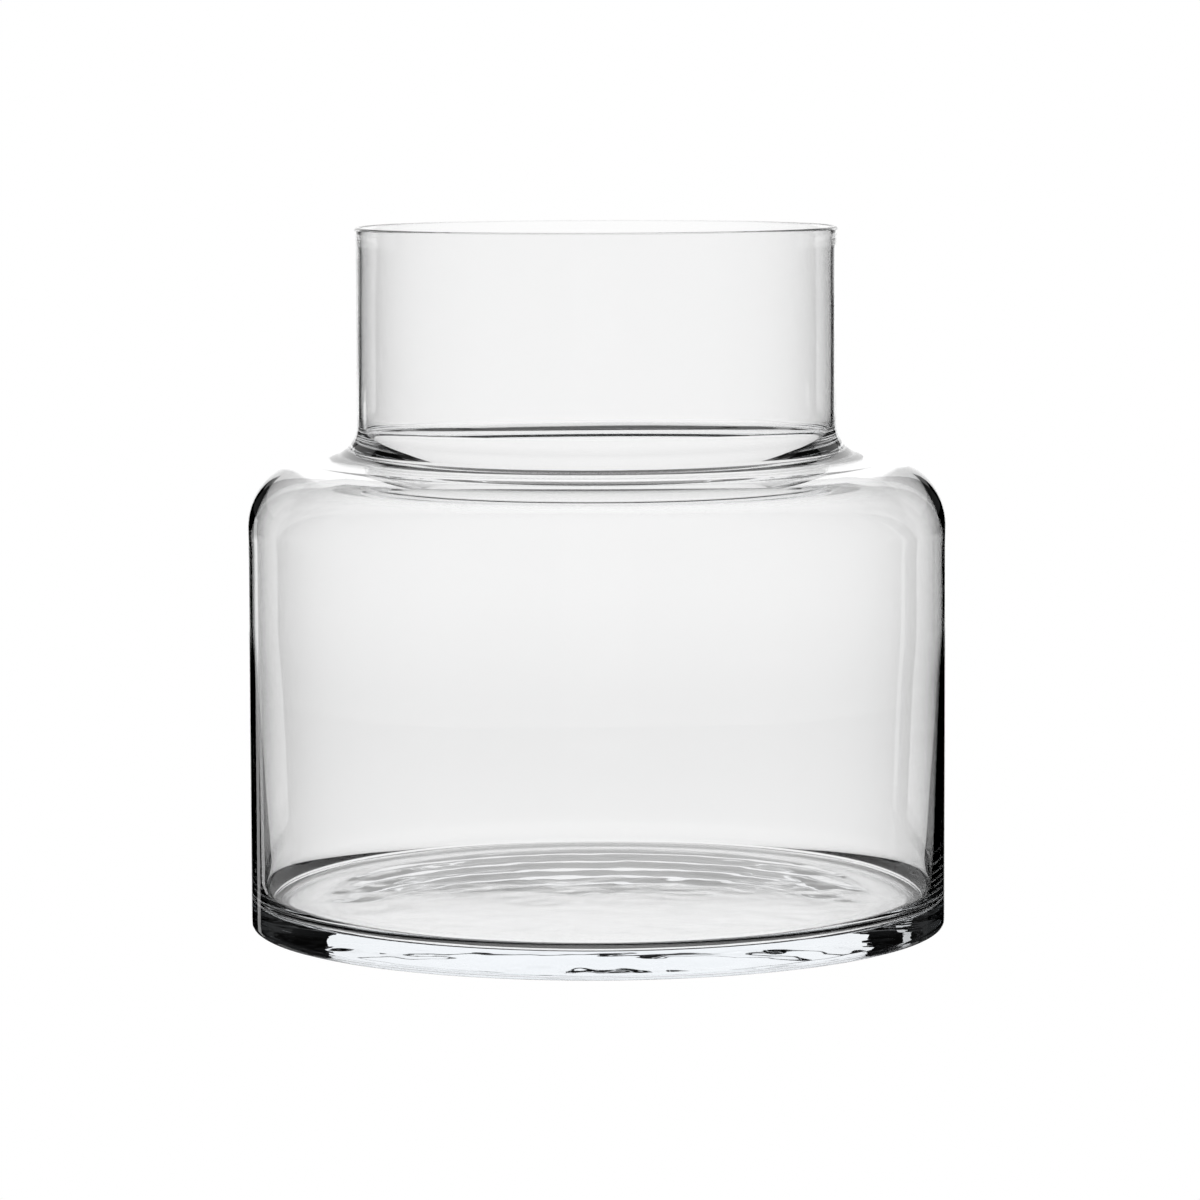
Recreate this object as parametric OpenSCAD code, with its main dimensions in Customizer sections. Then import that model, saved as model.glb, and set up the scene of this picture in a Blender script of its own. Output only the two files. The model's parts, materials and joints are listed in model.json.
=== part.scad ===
// Blown glass vase: a wide straight body, a rounded shoulder and a narrower
// straight neck. The glass is a single piece. Each node is one zone of it, and
// neighbouring zones meet face to face on a horizontal plane.
// The origin is the middle of the foot, on the surface that the vase stands on.

/* [Overall] */
// Height from the foot to the top of the rim
height = 200; // [180:1:260]
// Outside diameter of the body
body_d = 199.2; // [190:0.2:240]
// Outside diameter of the neck
neck_d = 136.6; // [100:0.2:140]

/* [Shoulder] */
// Height at which the outside of the straight body turns into the shoulder
shoulder_z = 115; // [100:1:130]
// Outside radius of the curve between the body and the shoulder's upper face
shoulder_r = 18.9; // [14:0.1:20]
// Slope of the shoulder's upper face, in degrees
shoulder_slope = 8; // [0:1:15]
// Outside radius of the hollow curve between the shoulder and the neck
collar_r = 9.4; // [4:0.2:11]
// Inside radius of the small rounded edge between the shoulder and the neck
collar_in_r = 1.5; // [1:0.5:4]
// Inside radius of the curve between the body and the shoulder
shoulder_in_r = 18.5; // [15:0.1:20]

/* [Wall] */
// Thickness of the neck
neck_wall = 1.4; // [1:0.1:2.4]
// Thickness of the shoulder's upper face
shoulder_wall = 2.8; // [2:0.1:4]
// Thickness of the upper body
body_wall = 1.05; // [1:0.05:2]
// Height below which the body thickens towards the floor
taper_z = 86; // [70:1:98]
// Slope of the inside face of the thickened wall, in degrees
taper_angle = 1.8; // [1:0.1:4]
// Radius of the long curve that leads into the thickened wall
taper_blend_r = 350; // [100:10:500]

/* [Rim] */
// Width of the fire-polished rim, whose inside is flush with the neck
rim_w = 1.8; // [1.5:0.1:2.6]
// Height of the rim, from where the neck begins to swell
rim_h = 3; // [2:0.5:6]

/* [Base] */
// Thickness of the floor at its edge
floor_t = 7.2; // [6:0.1:14]
// Radius of the inside corner between the floor and the wall
floor_corner_r = 6; // [3:0.5:8]
// Rise of the inside floor at its middle
floor_rise = 1.2; // [0.5:0.1:3]
// Outside radius of the heel
heel_r = 2; // [1:0.5:5]
// Diameter of the hollow pushed up under the base
pushup_d = 160; // [100:1:175]
// Height of that hollow at its middle
pushup_h = 2.6; // [1:0.1:4]

/* [Hidden] */

body_r = body_d / 2;
neck_r = neck_d / 2;
neck_in_r = neck_r - neck_wall;
body_in_r = body_r - body_wall;
arc_steps = 12;

// Height of the plane between the thick lower wall and the upper wall
lower_z = 30;
// Height of the plane between the neck and the rim
rim_z = height - rim_h;

// The shoulder's upper face falls outwards, and its unit normal is (slope_r, slope_z).
slope_r = sin(shoulder_slope);
slope_z = cos(shoulder_slope);
// Middle of the hollow collar curve: its top meets the neck, its foot the shoulder's face
collar_mid_r = neck_r + collar_r;
shoulder_mid_r = body_r - shoulder_r;
collar_z = shoulder_z
    + (shoulder_r + collar_r - slope_r * (collar_mid_r - shoulder_mid_r)) / slope_z;
// Distance from the origin to the inside of the upper face, along that normal
inside_face = slope_r * collar_mid_r + slope_z * collar_z - collar_r - shoulder_wall;
// Middle of the shoulder's inside curve, which touches the upper face and the body
shoulder_in_mid_r = body_in_r - shoulder_in_r;
shoulder_in_z = (inside_face - shoulder_in_r - slope_r * shoulder_in_mid_r) / slope_z;
// Middle of the rounded edge, which touches the upper face and the neck
collar_in_mid_r = neck_in_r + collar_in_r;
collar_in_z = (inside_face + collar_in_r - slope_r * collar_in_mid_r) / slope_z;

// The thickened wall's inside face is a cone below the long blend curve.
taper_top_r = body_in_r - taper_blend_r * (1 - cos(taper_angle));
taper_top_z = taper_z - taper_blend_r * sin(taper_angle);
function taper_r(z) = taper_top_r - (taper_top_z - z) * tan(taper_angle);
// Middle of the inside corner, which touches the floor and the cone
corner_z = floor_t + floor_corner_r;
corner_r = taper_r(corner_z - floor_corner_r * sin(taper_angle))
    - floor_corner_r * cos(taper_angle);

// Points of an arc about (r, z), from one angle to another
function arc(r, z, radius, from, to) = [
    for (i = [0 : arc_steps])
        let (a = from + (to - from) * i / arc_steps)
        [r + radius * cos(a), z + radius * sin(a)]
];

// Points of a shallow dome on the axis, from its edge up to its middle
function dome(edge_r, edge_z, rise) =
    let (radius = (edge_r * edge_r + rise * rise) / (2 * rise))
    let (spread = asin(edge_r / radius))
    [
        for (i = [0 : arc_steps])
            let (a = spread * (1 - i / arc_steps))
            [radius * sin(a), edge_z + rise - radius * (1 - cos(a))]
    ];

module turned(outline) {
    color([0.86, 0.92, 0.92, 0.4])
        rotate_extrude($fn = 180)
            polygon(outline);
}

module rim() {
    bead_r = rim_w / 2;
    bead_z = height - bead_r;
    turned(concat(
        [[neck_in_r, rim_z], [neck_r, rim_z]],
        arc(neck_in_r + bead_r, bead_z, bead_r, 0, 180)
    ));
}

module neck() {
    turned([
        [neck_in_r, collar_z],
        [neck_r, collar_z],
        [neck_r, rim_z],
        [neck_in_r, rim_z]
    ]);
}

module shoulder() {
    turned(concat(
        [[body_r, shoulder_in_z]],
        arc(shoulder_mid_r, shoulder_z, shoulder_r, 0, 90 - shoulder_slope),
        arc(collar_mid_r, collar_z, collar_r, 270 - shoulder_slope, 180),
        [[neck_in_r, collar_z]],
        arc(collar_in_mid_r, collar_in_z, collar_in_r, 180, 270 - shoulder_slope),
        arc(shoulder_in_mid_r, shoulder_in_z, shoulder_in_r, 90 - shoulder_slope, 0)
    ));
}

module upper_wall() {
    turned(concat(
        [[body_r, lower_z], [body_r, shoulder_in_z], [body_in_r, shoulder_in_z]],
        arc(body_in_r - taper_blend_r, taper_z, taper_blend_r, 0, -taper_angle),
        [[taper_r(lower_z), lower_z]]
    ));
}

module lower_wall() {
    turned(concat(
        arc(corner_r, corner_z, floor_corner_r, -90, -taper_angle),
        [[taper_r(lower_z), lower_z], [body_r, lower_z], [body_r, floor_t]]
    ));
}

module base() {
    turned(concat(
        dome(corner_r, floor_t, floor_rise),
        [for (i = [arc_steps : -1 : 0]) dome(pushup_d / 2, 0, pushup_h)[i]],
        arc(body_r - heel_r, heel_r, heel_r, -90, 0),
        [[body_r, floor_t]]
    ));
}

rim();
neck();
shoulder();
upper_wall();
lower_wall();
base();
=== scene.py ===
"""A blown glass vase on a pale stage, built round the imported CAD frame. All lengths are in metres."""
import json
import math

import bpy
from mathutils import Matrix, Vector, noise


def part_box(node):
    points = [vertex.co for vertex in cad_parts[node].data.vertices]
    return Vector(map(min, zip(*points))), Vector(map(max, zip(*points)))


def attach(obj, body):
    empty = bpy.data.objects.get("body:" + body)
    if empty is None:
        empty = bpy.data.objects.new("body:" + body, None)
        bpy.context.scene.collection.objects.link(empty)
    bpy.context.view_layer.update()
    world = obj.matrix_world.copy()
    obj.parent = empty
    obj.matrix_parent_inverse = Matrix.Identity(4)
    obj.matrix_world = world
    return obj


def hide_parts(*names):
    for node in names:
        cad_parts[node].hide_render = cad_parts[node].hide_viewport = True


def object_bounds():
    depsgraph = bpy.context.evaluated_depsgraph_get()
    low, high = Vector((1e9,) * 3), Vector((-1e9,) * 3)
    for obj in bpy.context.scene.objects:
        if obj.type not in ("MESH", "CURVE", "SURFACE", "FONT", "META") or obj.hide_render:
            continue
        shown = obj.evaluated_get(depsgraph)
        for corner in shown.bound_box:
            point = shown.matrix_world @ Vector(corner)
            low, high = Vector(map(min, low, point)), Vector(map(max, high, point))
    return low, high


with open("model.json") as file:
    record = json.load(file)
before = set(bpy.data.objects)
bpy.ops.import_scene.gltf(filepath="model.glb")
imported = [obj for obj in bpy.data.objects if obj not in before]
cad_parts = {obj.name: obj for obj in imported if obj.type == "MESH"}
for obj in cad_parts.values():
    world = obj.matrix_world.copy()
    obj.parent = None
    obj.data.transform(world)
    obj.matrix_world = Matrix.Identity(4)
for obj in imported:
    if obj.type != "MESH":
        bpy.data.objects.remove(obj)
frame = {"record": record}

MM = 0.001

# ---------------------------------------------------------------- sizes from the frame
CAD_LO, CAD_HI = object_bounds()
HEIGHT = CAD_HI.z
BODY_R = CAD_HI.x
NECK_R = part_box("neck")[1].x
RIM_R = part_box("rim")[1].x
RIM_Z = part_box("rim")[0].z
COLLAR_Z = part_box("neck")[0].z
SHOULDER_IN_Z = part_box("shoulder")[0].z
FLOOR_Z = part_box("lower_wall")[0].z
MOUTH = next(m for m in frame["record"]["mounts"] if m["name"] == "mouth")
NECK_IN_R = MOUTH["dims"]["r_mm"] * MM

# ---------------------------------------------------------------- the glass, as in part.scad
SHOULDER_Z = 115 * MM
SHOULDER_R = 18.9 * MM
SHOULDER_IN_R = 18.5 * MM
SHOULDER_WALL = 2.8 * MM
SLOPE = math.radians(8)
COLLAR_R = 9.4 * MM
COLLAR_IN_R = 1.5 * MM
BODY_WALL = 1.05 * MM
TAPER_Z = 86 * MM
TAPER = math.radians(1.8)
TAPER_BLEND_R = 350 * MM
CORNER_R = 6 * MM
HEEL_R = 2 * MM
PUSHUP_R = 80 * MM
PUSHUP_H = 2.6 * MM
FLOOR_RISE = 1.2 * MM

SEGMENTS = 320          # faces round the axis

# ---------------------------------------------------------------- waves of the blown surface
# How far each zone of the surface wanders from the true one
NECK_WAVE = 0.12 * MM
BODY_WAVE = 0.03 * MM
LOWER_WAVE = 0.05 * MM
FLOOR_WAVE = 0.04 * MM
UNDER_WAVE = 0.12 * MM
# Over what length
WALL_ACROSS = 60 * MM
WALL_ALONG = 24 * MM
FLOOR_LENGTH = 22 * MM
COARSE_LENGTH = 13 * MM
FINE_LENGTH = 6 * MM
# How the coarse and the fine waves share the underside
COARSE_SHARE = 0.6
FINE_SHARE = 0.4
# Seeds that keep one surface's waves unlike another's
OUTSIDE_SEED = 1.9
INSIDE_SEED = 11.3
FLOOR_SEED = 5.3
COARSE_SEED = 3.1
FINE_SEED = 7.7
# Where they grow and fade
HEEL_CALM_Z = 12 * MM   # full above this height on the outside
LOWER_Z = 30 * MM       # the lower wall's waves are full below this height
UPPER_Z = 80 * MM       # and gone above this one
COLLAR_BELOW = 5 * MM   # the neck's waves grow from here below the collar's top, inside
COLLAR_ABOVE = 12 * MM  # and are full this far above it
RIM_CALM = 6 * MM       # they fade out over this height below the rim


def arc(r, z, radius, start, end, steps):
    """Points on an arc about (r, z), from one angle to another in degrees."""
    out = []
    for i in range(steps + 1):
        a = math.radians(start + (end - start) * i / steps)
        out.append((r + radius * math.cos(a), z + radius * math.sin(a)))
    return out


def line(r0, z0, r1, z1, steps):
    """Points strictly between two ends."""
    return [(r0 + (r1 - r0) * i / steps, z0 + (z1 - z0) * i / steps) for i in range(1, steps)]


def dome(edge_r, edge_z, rise, steps):
    """A shallow dome from near the axis out to its edge."""
    radius = (edge_r ** 2 + rise ** 2) / (2 * rise)
    spread = math.asin(edge_r / radius)
    out = []
    for i in range(1, steps + 1):
        a = spread * i / steps
        out.append((radius * math.sin(a), edge_z + rise - radius * (1 - math.cos(a))))
    return out


def section():
    """The glass's section as (r, z, part): up the outside, over the rim and down the inside."""
    slope_r, slope_z = math.sin(SLOPE), math.cos(SLOPE)
    slope_deg = math.degrees(SLOPE)
    taper_deg = math.degrees(TAPER)
    body_in = BODY_R - BODY_WALL
    collar_mid = NECK_R + COLLAR_R
    inside = slope_r * collar_mid + slope_z * COLLAR_Z - COLLAR_R - SHOULDER_WALL
    edge_mid = NECK_IN_R + COLLAR_IN_R
    edge_z = (inside + COLLAR_IN_R - slope_r * edge_mid) / slope_z
    taper_top_r = body_in - TAPER_BLEND_R * (1 - math.cos(TAPER))
    taper_top_z = TAPER_Z - TAPER_BLEND_R * math.sin(TAPER)
    corner_z = FLOOR_Z + CORNER_R
    touch_z = corner_z - CORNER_R * math.sin(TAPER)
    touch_r = taper_top_r - (taper_top_z - touch_z) * math.tan(TAPER)
    corner_r = touch_r - CORNER_R * math.cos(TAPER)
    bead = (RIM_R - NECK_IN_R) / 2

    pts = []

    def add(part, points):
        pts.extend((r, z, part) for r, z in points)

    add("under", dome(PUSHUP_R, 0, PUSHUP_H, steps=34))
    add("foot", line(PUSHUP_R, 0, BODY_R - HEEL_R, 0, steps=7))
    add("heel", arc(BODY_R - HEEL_R, HEEL_R, HEEL_R, -90, 0, steps=8))
    add("body", line(BODY_R, HEEL_R, BODY_R, SHOULDER_Z, steps=46))
    add("shoulder", arc(BODY_R - SHOULDER_R, SHOULDER_Z, SHOULDER_R, 0, 90 - slope_deg, steps=18))
    add("shoulder", arc(collar_mid, COLLAR_Z, COLLAR_R, 270 - slope_deg, 180, steps=12))
    add("neck", line(NECK_R, COLLAR_Z, NECK_R, RIM_Z, steps=20))
    add("rim", [(NECK_R, RIM_Z)])
    add("rim", arc(NECK_IN_R + bead, HEIGHT - bead, bead, 0, 180, steps=14))
    add("neck_in", line(NECK_IN_R, HEIGHT - bead, NECK_IN_R, edge_z, steps=24))
    add("shoulder_in", arc(edge_mid, edge_z, COLLAR_IN_R, 180, 270 - slope_deg, steps=8))
    add("shoulder_in", arc(body_in - SHOULDER_IN_R, SHOULDER_IN_Z, SHOULDER_IN_R,
                           90 - slope_deg, 0, steps=18))
    add("body_in", line(body_in, SHOULDER_IN_Z, body_in, TAPER_Z, steps=10))
    add("body_in", arc(body_in - TAPER_BLEND_R, TAPER_Z, TAPER_BLEND_R, 0, -taper_deg, steps=9))
    add("lower_in", line(taper_top_r, taper_top_z, touch_r, touch_z, steps=22))
    add("lower_in", arc(corner_r, corner_z, CORNER_R, -taper_deg, -90, steps=10))
    add("floor", reversed(dome(corner_r, FLOOR_Z, FLOOR_RISE, steps=34)[:-1]))
    return pts


def wave(x, y, z, across, along, seed):
    """Smooth noise from -1 to 1, with one wavelength round the axis and another along it."""
    return noise.noise(Vector((x / across + seed, y / across - seed, z / along + 2 * seed)))


def fade(value, start, end):
    """0 before start, 1 after end and smooth between them."""
    t = min(max((value - start) / (end - start), 0), 1)
    return t * t * (3 - 2 * t)


def wall_wave(z, grow_z):
    """The size of the wall's waves, which grow from the body's to the neck's above grow_z."""
    return BODY_WAVE + (NECK_WAVE - BODY_WAVE) * fade(z, grow_z, COLLAR_Z + COLLAR_ABOVE)


def under_wave(r):
    """The size of the underside's waves: less round the middle, most near the foot ring, none at it."""
    size = 1 - 0.7 * fade(r, 0.3 * PUSHUP_R, 0.5 * PUSHUP_R)
    size += fade(r, 0.65 * PUSHUP_R, 0.8 * PUSHUP_R) - 1.3 * fade(r, 0.92 * PUSHUP_R, PUSHUP_R)
    return UNDER_WAVE * size


def blown(r, z, part, angle):
    """A point of the blown surface. The outside of the wall only ever moves into the glass."""
    x, y = r * math.cos(angle), r * math.sin(angle)
    if part in ("foot", "heel", "rim"):
        return r, z
    if part == "under":
        ripple = COARSE_SHARE * wave(x, y, z, COARSE_LENGTH, COARSE_LENGTH, COARSE_SEED)
        ripple += FINE_SHARE * wave(x, y, z, FINE_LENGTH, FINE_LENGTH, FINE_SEED)
        return r, max(z + under_wave(r) * ripple, 0)
    if part == "floor":
        return r, z + FLOOR_WAVE * wave(x, y, z, FLOOR_LENGTH, FLOOR_LENGTH, FLOOR_SEED)
    rim_calm = 1 - fade(z, RIM_Z - RIM_CALM, RIM_Z)
    if part in ("body", "shoulder", "neck"):
        size = wall_wave(z, COLLAR_Z) * fade(z, HEEL_R, HEEL_CALM_Z) * rim_calm
        return r - size * (0.5 + 0.5 * wave(x, y, z, WALL_ACROSS, WALL_ALONG, OUTSIDE_SEED)), z
    size = wall_wave(z, COLLAR_Z - COLLAR_BELOW)
    size += (LOWER_WAVE - BODY_WAVE) * (1 - fade(z, LOWER_Z, UPPER_Z))
    return r + size * rim_calm * wave(x, y, z, WALL_ACROSS, WALL_ALONG, INSIDE_SEED), z


def build_glass():
    """The vase as one closed skin: a ring of points for each point of the section."""
    pts = section()
    rings = len(pts)
    verts = []
    for r, z, part in pts:
        for j in range(SEGMENTS):
            a = 2 * math.pi * j / SEGMENTS
            rr, zz = blown(r, z, part, a)
            verts.append((rr * math.cos(a), rr * math.sin(a), zz))
    faces = []
    for i in range(rings - 1):
        for j in range(SEGMENTS):
            k = (j + 1) % SEGMENTS
            faces.append((i * SEGMENTS + j, i * SEGMENTS + k,
                          (i + 1) * SEGMENTS + k, (i + 1) * SEGMENTS + j))
    # The middle points of the underside and of the floor close the skin on the axis
    low, high = len(verts), len(verts) + 1
    last = (rings - 1) * SEGMENTS
    verts.append((0, 0, sum(v[2] for v in verts[:SEGMENTS]) / SEGMENTS))
    verts.append((0, 0, sum(v[2] for v in verts[last:low]) / SEGMENTS))
    for j in range(SEGMENTS):
        k = (j + 1) % SEGMENTS
        faces.append((low, k, j))
        faces.append((high, last + j, last + k))
    mesh = bpy.data.meshes.new("vase_glass")
    mesh.from_pydata(verts, [], faces)
    mesh.polygons.foreach_set("use_smooth", [True] * len(mesh.polygons))
    mesh.update()
    obj = bpy.data.objects.new("vase_glass", mesh)
    bpy.context.scene.collection.objects.link(obj)
    return obj


# ---------------------------------------------------------------- glass material
def math_node(nodes, links, operation, a, b):
    """Arithmetic on two values, each a number or another node's output."""
    node = nodes.new("ShaderNodeMath")
    node.operation = operation
    for socket, value in zip(node.inputs, (a, b)):
        if isinstance(value, (int, float)):
            socket.default_value = value
        else:
            links.new(value, socket)
    return node.outputs[0]


def map_node(nodes, links, value, lo, hi, to_lo, to_hi):
    """Turn lo..hi into to_lo..to_hi, smoothly."""
    node = nodes.new("ShaderNodeMapRange")
    node.interpolation_type = "SMOOTHSTEP"
    node.inputs["From Min"].default_value = lo
    node.inputs["From Max"].default_value = hi
    node.inputs["To Min"].default_value = to_lo
    node.inputs["To Max"].default_value = to_hi
    links.new(value, node.inputs["Value"])
    return node.outputs[0]


def noise_node(nodes, links, coord, scale, detail):
    node = nodes.new("ShaderNodeTexNoise")
    node.inputs["Scale"].default_value = scale
    node.inputs["Detail"].default_value = detail
    links.new(coord, node.inputs["Vector"])
    return node.outputs["Fac"]


IOR = 1.52
TINT = (0.64, 0.80, 0.97, 1)    # faintly blue through the thick base
TINT_DENSITY = 1.0
RIPPLE_SCALE = 60
RIPPLE_DEPTH = 0.002 * MM
SMUDGE_SCALE = 30
SMUDGE_ROUGHNESS = 0.012        # where the surface is most smudged


def glass_material():
    """Clear glass with a very slight ripple all over and a few faint smudges."""
    mat = bpy.data.materials.new("clear_glass")
    mat.use_nodes = True
    nodes, links = mat.node_tree.nodes, mat.node_tree.links
    shader = nodes["Principled BSDF"]
    shader.inputs["Base Color"].default_value = (1, 1, 1, 1)
    shader.inputs["IOR"].default_value = IOR
    shader.inputs["Transmission Weight"].default_value = 1.0
    absorb = nodes.new("ShaderNodeVolumeAbsorption")
    absorb.inputs["Color"].default_value = TINT
    absorb.inputs["Density"].default_value = TINT_DENSITY
    links.new(absorb.outputs["Volume"], nodes["Material Output"].inputs["Volume"])

    coord = nodes.new("ShaderNodeTexCoord").outputs["Object"]
    ripple = noise_node(nodes, links, coord, RIPPLE_SCALE, 1)
    bump = nodes.new("ShaderNodeBump")
    bump.inputs["Distance"].default_value = 1.0
    links.new(math_node(nodes, links, "MULTIPLY", ripple, RIPPLE_DEPTH), bump.inputs["Height"])
    links.new(bump.outputs[0], shader.inputs["Normal"])
    smudge = noise_node(nodes, links, coord, SMUDGE_SCALE, 3)
    roughness = map_node(nodes, links, smudge, 0.5, 0.8, 0.0, SMUDGE_ROUGHNESS)
    links.new(roughness, shader.inputs["Roughness"])
    return mat


# ---------------------------------------------------------------- stage
# The camera stands low in front of the vase with a long lens. Angles are in radians.
CAM_DISTANCE = 1.4734
CAM_HEIGHT = 0.2396
CAM_X = 0.0013
CAM_TILT = 0.0990
CAM_ROLL = 0.0033
LENS = 155.175          # in the camera's own millimetres, as the sensor's width is
SENSOR = 36.0

FIELD = 3.0             # half the side of the pale floor that the camera sees
BACKDROP_Y = 0.9
MIRROR_Z = -0.3 * MM    # the glossy table top that only the glass sees
MIRROR_SHINE = 0.985

# The cards stand behind the vase, and only the glass sees them
CARD_Y = 0.36
CARD_GAP = 1 * MM       # between one card and the next behind it
# How far they reach to the side
WHITE_HALF = 0.1765
NARROW = 0.21
LEFT_DARK = 0.28
LEFT_LIT = 0.32
WIDE = 0.42
TOP_HALF = 0.5
# How high they reach
LOW_TOP = 0.125
FLAG_DIM = 0.165        # the flags are grey above this height
FLAG_TOP = 0.20
HIGH_TOP = 0.36
CARD_TOP = 0.50
# How bright they are. The white one is a little dimmer at its foot.
WHITE_LOW = 0.99
WHITE_HIGH = 1.06
WHITE_GRADE = 0.07
LEFT_LIGHT = 0.7
TOP_CARD_LIGHT = 0.35
FLAG_LIGHT = 0.2

DOME_R = 2.6            # the sky, which is dim
LOW_LIGHT = 0.03
MID_LIGHT = 0.02
OVERHEAD_LIGHT = 0.12
FRONT_LIGHT = 0.07
# Where its brightness starts and stops changing: up from the floor, and towards the front
HORIZON_FROM = 0.150 * DOME_R
HORIZON_TO = 0.166 * DOME_R
OVERHEAD_FROM = 0.60 * DOME_R
OVERHEAD_TO = 0.75 * DOME_R
FRONT_FROM = -0.1 * DOME_R
FRONT_TO = -0.6 * DOME_R

BOUNCES = 16            # enough for the light that runs round inside the wall
WORLD_GREY = (0.35, 0.35, 0.35, 1)


def emission(name, strength):
    mat = bpy.data.materials.new(name)
    mat.use_nodes = True
    nodes, links = mat.node_tree.nodes, mat.node_tree.links
    nodes.remove(nodes["Principled BSDF"])
    shader = nodes.new("ShaderNodeEmission")
    shader.inputs["Strength"].default_value = strength
    links.new(shader.outputs[0], nodes["Material Output"].inputs["Surface"])
    return mat


def graded(mat, lo, hi, to_lo, to_hi):
    """Grade the strength of an emission along the object's own Z."""
    nodes, links = mat.node_tree.nodes, mat.node_tree.links
    split = nodes.new("ShaderNodeSeparateXYZ")
    links.new(nodes.new("ShaderNodeTexCoord").outputs["Object"], split.inputs[0])
    links.new(map_node(nodes, links, split.outputs["Z"], lo, hi, to_lo, to_hi),
              nodes["Emission"].inputs["Strength"])
    return mat


def sky_light():
    """A dim sky, a little lighter near the horizon, overhead and in front of the vase."""
    mat = emission("sky_light", 1.0)
    nodes, links = mat.node_tree.nodes, mat.node_tree.links
    split = nodes.new("ShaderNodeSeparateXYZ")
    links.new(nodes.new("ShaderNodeTexCoord").outputs["Object"], split.inputs[0])
    up, back = split.outputs["Z"], split.outputs["Y"]
    low = map_node(nodes, links, up, HORIZON_FROM, HORIZON_TO, LOW_LIGHT, MID_LIGHT)
    top = map_node(nodes, links, up, OVERHEAD_FROM, OVERHEAD_TO, 0.0, OVERHEAD_LIGHT)
    front = map_node(nodes, links, back, FRONT_FROM, FRONT_TO, 0.0, FRONT_LIGHT)
    both = math_node(nodes, links, "ADD", low, top)
    links.new(math_node(nodes, links, "MAXIMUM", both, front), nodes["Emission"].inputs["Strength"])
    return mat


def mirror():
    mat = bpy.data.materials.new("stage_gloss")
    mat.use_nodes = True
    nodes, links = mat.node_tree.nodes, mat.node_tree.links
    nodes.remove(nodes["Principled BSDF"])
    shader = nodes.new("ShaderNodeBsdfGlossy")
    shader.inputs["Color"].default_value = (MIRROR_SHINE, MIRROR_SHINE, MIRROR_SHINE, 1)
    shader.inputs["Roughness"].default_value = 0.0
    links.new(shader.outputs[0], nodes["Material Output"].inputs["Surface"])
    return mat


def stage_mesh(name, verts, faces, mat, rig, seen):
    """A stage object that either the camera or only the glass sees."""
    mesh = bpy.data.meshes.new(name)
    mesh.from_pydata(verts, [], faces)
    mesh.materials.append(mat)
    obj = bpy.data.objects.new(name, mesh)
    bpy.context.scene.collection.objects.link(obj)
    obj.parent = rig
    obj.visible_camera = seen
    obj.visible_diffuse = False
    obj.visible_glossy = not seen
    obj.visible_transmission = not seen
    obj.visible_shadow = False


def flat(name, half, z, mat, rig, seen):
    """A level square."""
    verts = [(-half, -half, z), (half, -half, z), (half, half, z), (-half, half, z)]
    stage_mesh(name, verts, [(0, 1, 2, 3)], mat, rig, seen)


def card(name, left, right, low, top, y, mat, rig, seen=False):
    """An upright rectangle that faces the vase."""
    verts = [(left, y, low), (right, y, low), (right, y, top), (left, y, top)]
    stage_mesh(name, verts, [(0, 1, 2, 3)], mat, rig, seen)


def sky(name, mat, rig):
    """A half globe over the stage, which only the glass sees."""
    across, up = 48, 16
    verts = []
    for i in range(up):
        tilt = math.pi / 2 * i / up
        for j in range(across):
            turn = 2 * math.pi * j / across
            verts.append((DOME_R * math.cos(tilt) * math.cos(turn),
                          DOME_R * math.cos(tilt) * math.sin(turn), DOME_R * math.sin(tilt) + MIRROR_Z))
    faces = [(i * across + j, i * across + (j + 1) % across, (i + 1) * across + (j + 1) % across,
              (i + 1) * across + j) for i in range(up - 1) for j in range(across)]
    verts.append((0, 0, DOME_R))
    last = (up - 1) * across
    faces += [(last + j, last + (j + 1) % across, len(verts) - 1) for j in range(across)]
    stage_mesh(name, verts, faces, mat, rig, False)


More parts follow.
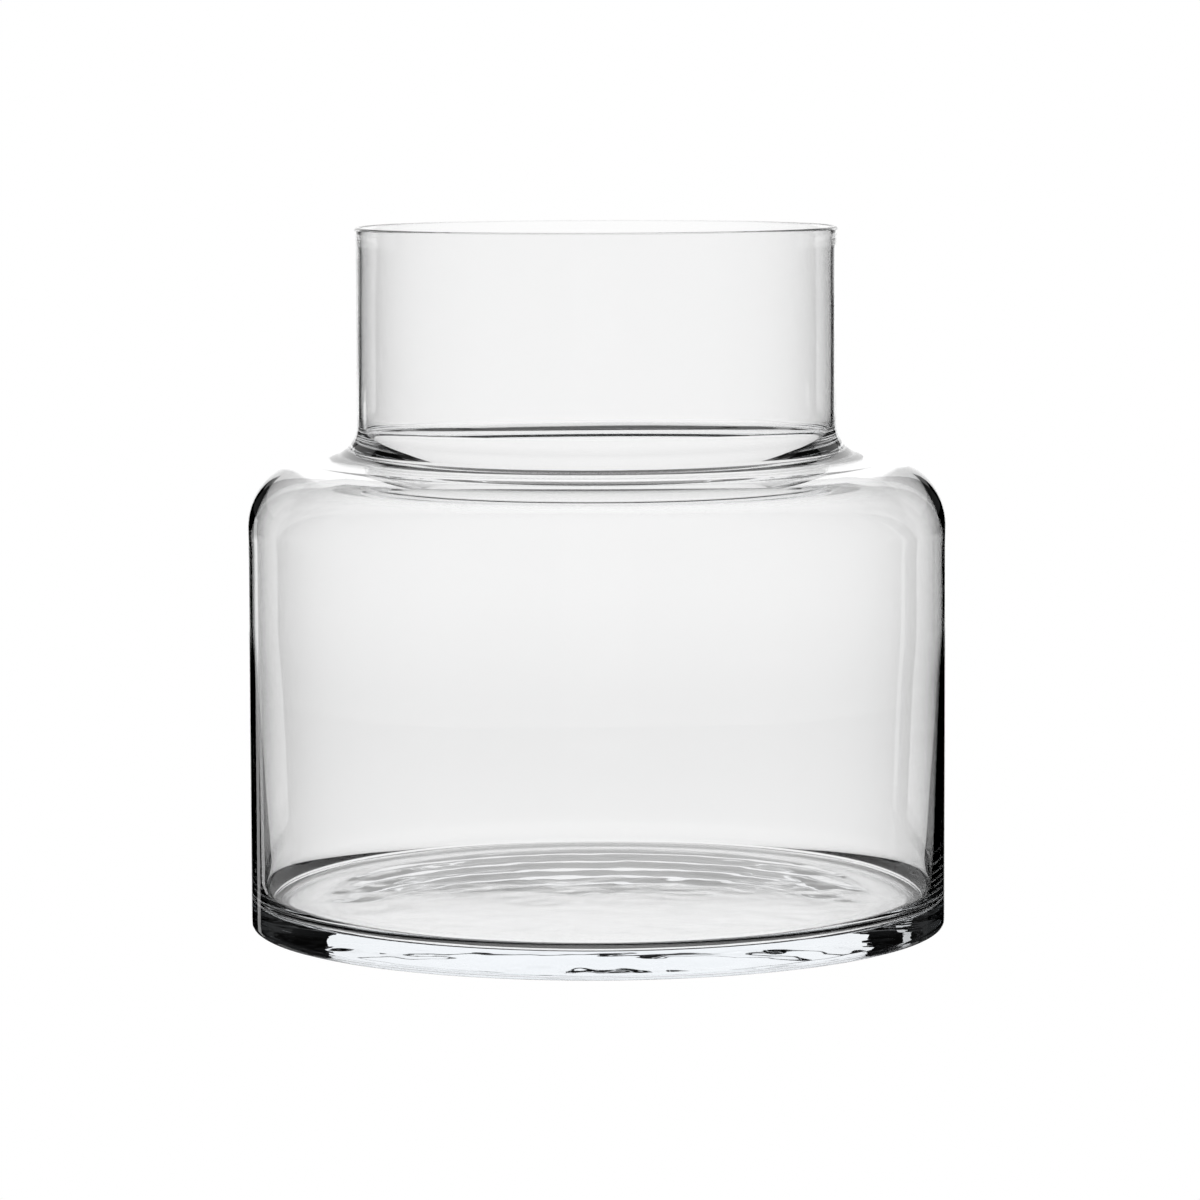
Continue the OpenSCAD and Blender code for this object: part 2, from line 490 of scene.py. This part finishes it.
def build_stage(cam):
    """Floor, backdrop, cards and sky on a turntable that keeps them behind the vase for the camera."""
    rig = bpy.data.objects.new("stage_turntable", None)
    bpy.context.scene.collection.objects.link(rig)
    track = rig.constraints.new("LOCKED_TRACK")
    track.target = cam
    track.track_axis = "TRACK_NEGATIVE_Y"
    track.lock_axis = "LOCK_Z"

    pale = emission("stage_white", 1.0)
    flat("stage_floor", FIELD, 0, pale, rig, True)
    card("stage_backdrop", -FIELD, FIELD, 0, FIELD, BACKDROP_Y, pale, rig, True)

    flat("gloss_floor", FIELD, MIRROR_Z, mirror(), rig, False)
    white = graded(emission("card_white", 1.0), 0, WHITE_GRADE, WHITE_LOW, WHITE_HIGH)
    black = emission("card_black", 0.0)
    grey = emission("card_grey", LEFT_LIGHT)
    soft = emission("card_soft", TOP_CARD_LIGHT)
    dim = emission("card_dim", FLAG_LIGHT)
    low, high_y, top_y = MIRROR_Z, CARD_Y + CARD_GAP, CARD_Y + 2 * CARD_GAP
    card("card_behind", -WHITE_HALF, WHITE_HALF, low, CARD_TOP, CARD_Y, white, rig)
    card("flag_right", WHITE_HALF, NARROW, low, FLAG_DIM, CARD_Y, black, rig)
    card("flag_top_right", WHITE_HALF, NARROW, FLAG_DIM, FLAG_TOP, CARD_Y, dim, rig)
    card("flag_top_left", -NARROW, -WHITE_HALF, FLAG_DIM, FLAG_TOP, CARD_Y, dim, rig)
    card("flag_wide_right", NARROW, WIDE, low, LOW_TOP, CARD_Y, black, rig)
    card("flag_left", -LEFT_DARK, -WHITE_HALF, low, LOW_TOP, CARD_Y, black, rig)
    card("flag_mid_left", -NARROW, -WHITE_HALF, LOW_TOP, FLAG_DIM, CARD_Y, black, rig)
    card("card_left", -LEFT_LIT, -LEFT_DARK, low, LOW_TOP, CARD_Y, grey, rig)
    card("flag_far_left", -WIDE, -LEFT_LIT, low, LOW_TOP, CARD_Y, black, rig)
    card("card_high", -NARROW, NARROW, LOW_TOP, HIGH_TOP, high_y, white, rig)
    card("card_top", -TOP_HALF, TOP_HALF, FLAG_TOP, HIGH_TOP, top_y, soft, rig)
    sky("sky", sky_light(), rig)


def build_camera():
    data = bpy.data.cameras.new("camera")
    data.sensor_width = SENSOR
    data.lens = LENS
    data.clip_start = 0.01
    data.clip_end = 20
    cam = bpy.data.objects.new("camera", data)
    bpy.context.scene.collection.objects.link(cam)
    cam.location = (CAM_X, -CAM_DISTANCE, CAM_HEIGHT)
    cam.rotation_euler = (math.pi / 2 - CAM_TILT, CAM_ROLL, 0)
    bpy.context.scene.camera = cam
    return cam


def set_world():
    world = bpy.data.worlds.new("studio")
    world.use_nodes = True
    world.node_tree.nodes["Background"].inputs[0].default_value = WORLD_GREY
    bpy.context.scene.world = world
    scene = bpy.context.scene
    scene.view_settings.view_transform = "Standard"
    scene.cycles.max_bounces = BOUNCES
    scene.cycles.transmission_bounces = BOUNCES
    scene.cycles.glossy_bounces = BOUNCES


glass = build_glass()
glass.data.materials.append(glass_material())
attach(glass, "root")
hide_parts("rim", "neck", "shoulder", "upper_wall", "lower_wall", "base")
build_stage(build_camera())
set_world()
